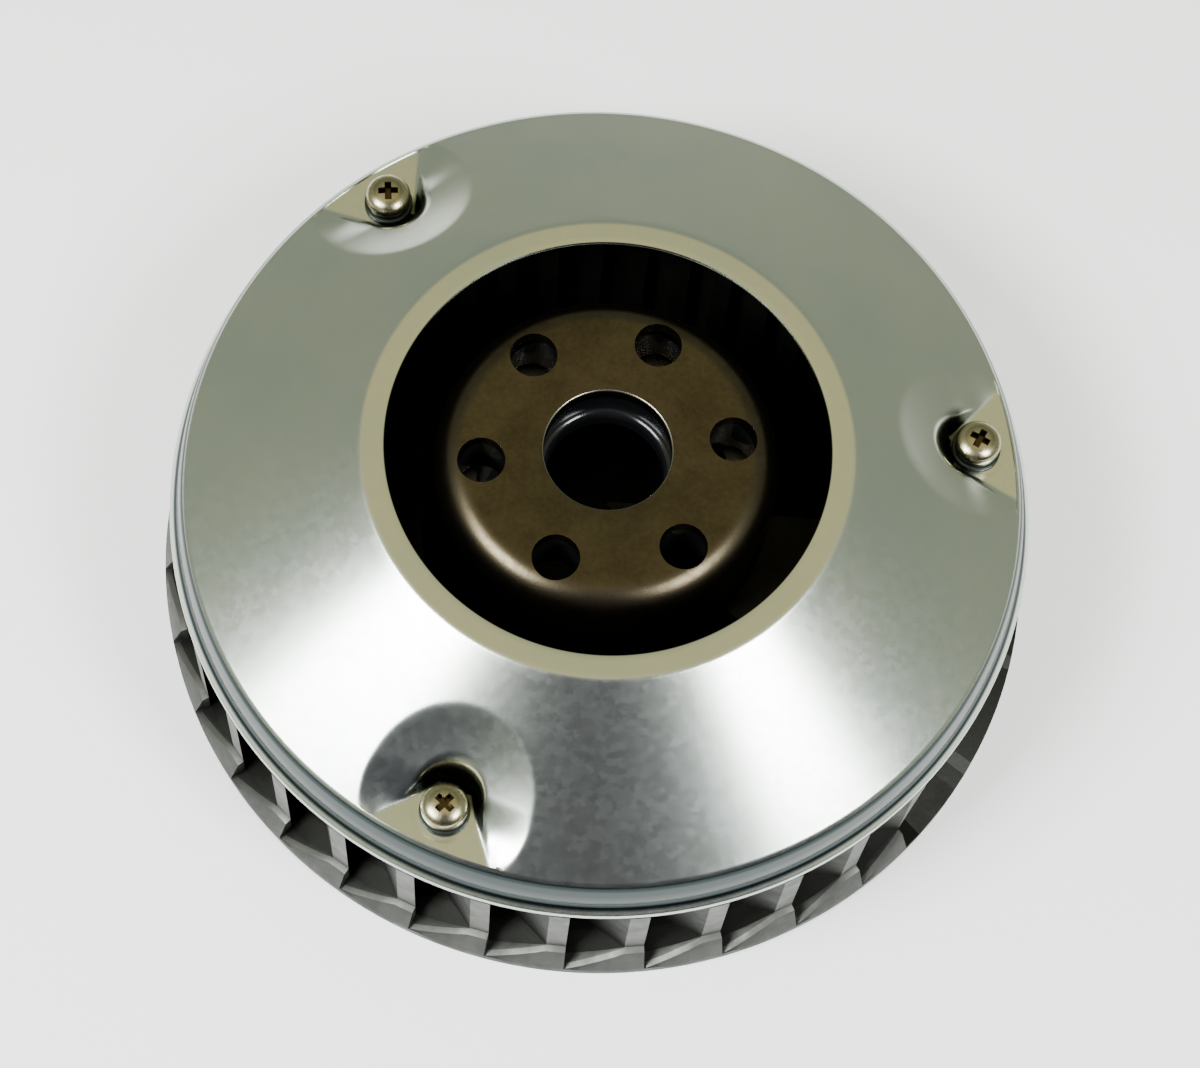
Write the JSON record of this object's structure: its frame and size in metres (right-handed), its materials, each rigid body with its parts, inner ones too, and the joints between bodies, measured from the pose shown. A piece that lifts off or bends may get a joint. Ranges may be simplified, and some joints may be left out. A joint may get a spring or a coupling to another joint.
{
  "type": "engine flywheel",
  "caption": "Fan-cooled engine flywheel: vaned cast wheel under a conical sheet cover, with a drawn rotor cup and thick hub bolted to a crankshaft flange.",
  "frame": {"origin": "on the axis of rotation, in the plane of the fan wheel's lower rim", "axes": "+Z along the axis of rotation towards the air inlet and bolt face; +X through one cover screw"},
  "size_m": [0.187, 0.187, 0.062],
  "materials": {
    "cover_sheet": "bright zinc plated sheet, grey-green passivation, faint spangle",
    "fan_casting": "die-cast, satin, oily in the channels",
    "screw_steel": "yellowish zinc plating, stained brown in the recess",
    "spring_steel": "dark oiled spring steel",
    "cup_steel": "drawn steel, brown-grey, mottled",
    "hub_steel": "oiled black oxide",
    "magnet": "sintered ferrite",
    "magnet_steel": "plain steel"
  },
  "bodies": {
    "root": {"cover_plain_washer_1": "screw_steel", "cover_plain_washer_2": "screw_steel", "cover_plain_washer_3": "screw_steel", "cover_plate": "cover_sheet", "cover_screw_1": "screw_steel", "cover_screw_2": "screw_steel", "cover_screw_3": "screw_steel", "cover_spring_washer_1": "spring_steel", "cover_spring_washer_2": "spring_steel", "cover_spring_washer_3": "spring_steel", "crank_hub": "hub_steel", "cup_rivet_1": "magnet_steel", "cup_rivet_2": "magnet_steel", "cup_rivet_3": "magnet_steel", "cup_rivet_4": "magnet_steel", "cup_rivet_5": "magnet_steel", "cup_rivet_6": "magnet_steel", "fan_wheel": "fan_casting", "ignition_magnet": "magnet", "magnet_cage": "magnet_steel", "pole_shoe_1": "magnet_steel", "pole_shoe_2": "magnet_steel", "rotor_cup": "cup_steel", "rotor_magnet_1": "magnet", "rotor_magnet_2": "magnet", "rotor_magnet_3": "magnet", "rotor_magnet_4": "magnet", "rotor_magnet_5": "magnet", "rotor_magnet_6": "magnet"}
  },
  "joints": []
}
